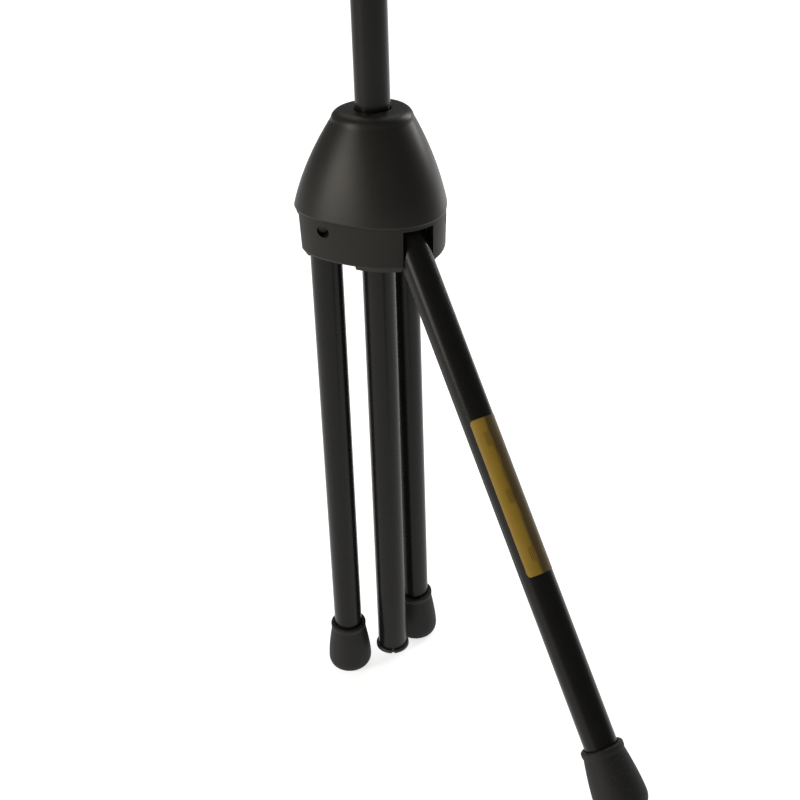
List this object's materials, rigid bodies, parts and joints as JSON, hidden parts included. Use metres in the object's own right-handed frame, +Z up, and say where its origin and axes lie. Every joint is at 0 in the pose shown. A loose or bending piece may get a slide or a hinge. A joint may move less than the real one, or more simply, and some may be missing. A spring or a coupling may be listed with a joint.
{
  "type": "music stand",
  "caption": "Portable music stand with a folding three-leg base, sliding shaft, friction clutch, extension tube and a tilting sheet-metal desk.",
  "frame": {"origin": "shaft axis at the lower face of the shaft's end flange, with the shaft down in the hub", "axes": "+Z up along the shaft, -Y towards the player (the desk's face), +X to the player's right"},
  "size_m": [0.508, 0.2594, 0.8503],
  "materials": {
    "satin_black_plastic": "satin, fine moulded grain",
    "gloss_black_paint": "semi-gloss powder coat",
    "black_rubber": "matte",
    "yellow_label": "satin film",
    "plated_steel": "zinc plated",
    "white_nylon": "natural nylon",
    "black_nylon": "moulded",
    "desk_paint": "fine-texture powder coat"
  },
  "bodies": {
    "hub": {"hub_bell": "satin_black_plastic", "hub_body": "satin_black_plastic", "hub_guide_bush": "white_nylon", "hub_screws": "plated_steel", "pivot_pin_a": "plated_steel", "pivot_pin_b": "plated_steel", "pivot_pin_c": "plated_steel"},
    "leg_a": {"leg_a_tube": "gloss_black_paint", "leg_a_head": "black_nylon", "leg_a_bush": "plated_steel", "leg_a_washers": "white_nylon", "leg_a_foot": "black_rubber"},
    "leg_b": {"leg_b_tube": "gloss_black_paint", "leg_b_head": "black_nylon", "leg_b_bush": "plated_steel", "leg_b_washers": "white_nylon", "leg_b_foot": "black_rubber", "leg_b_label": "yellow_label"},
    "leg_c": {"leg_c_tube": "gloss_black_paint", "leg_c_head": "black_nylon", "leg_c_bush": "plated_steel", "leg_c_washers": "white_nylon", "leg_c_foot": "black_rubber"},
    "shaft": {"outer_tube": "gloss_black_paint", "shaft_end_flange": "black_nylon", "clutch_collar": "satin_black_plastic", "clutch_bush": "white_nylon"},
    "extension": {"guide_plug": "black_nylon"},
    "post": {"inner_tube": "gloss_black_paint", "tilt_head": "satin_black_plastic", "tilt_head_pin": "plated_steel", "tilt_discs": "white_nylon", "tilt_bolt": "plated_steel", "tilt_nut": "plated_steel"},
    "desk": {"desk_panel": "desk_paint", "desk_yoke": "gloss_black_paint", "desk_rivets": "plated_steel"}
  },
  "joints": [
    {"name": "leg_a_swing", "type": "hinge", "parent": "hub", "child": "leg_a", "pos_m": [-0.0294, 0, 0.3139], "axis": [0, 1, 0], "range_deg": [0, 60]},
    {"name": "leg_b_swing", "type": "hinge", "parent": "hub", "child": "leg_b", "pos_m": [0.0147, -0.02546, 0.3139], "axis": [-0.866, -0.5, 0], "range_deg": [-38.4, 21.6]},
    {"name": "leg_c_swing", "type": "hinge", "parent": "hub", "child": "leg_c", "pos_m": [0.0147, 0.02546, 0.3139], "axis": [0.866, -0.5, 0], "range_deg": [-0.9, 59.1]},
    {"name": "shaft_slide", "type": "slide", "parent": "hub", "child": "shaft", "axis": [0, 0, 1], "range_m": [-0.0125, 0.3205]},
    {"name": "extension_slide", "type": "slide", "parent": "shaft", "child": "extension", "axis": [0, 0, 1], "range_m": [0, 0.48]},
    {"name": "desk_turn", "type": "hinge", "parent": "extension", "child": "post", "pos_m": [0, 0, 0.6], "axis": [0, 0, 1], "range_deg": [-180, 180]},
    {"name": "desk_tilt", "type": "hinge", "parent": "post", "child": "desk", "pos_m": [0, 0, 0.652], "axis": [-1, 0, 0], "range_deg": [-18, 72]}
  ]
}
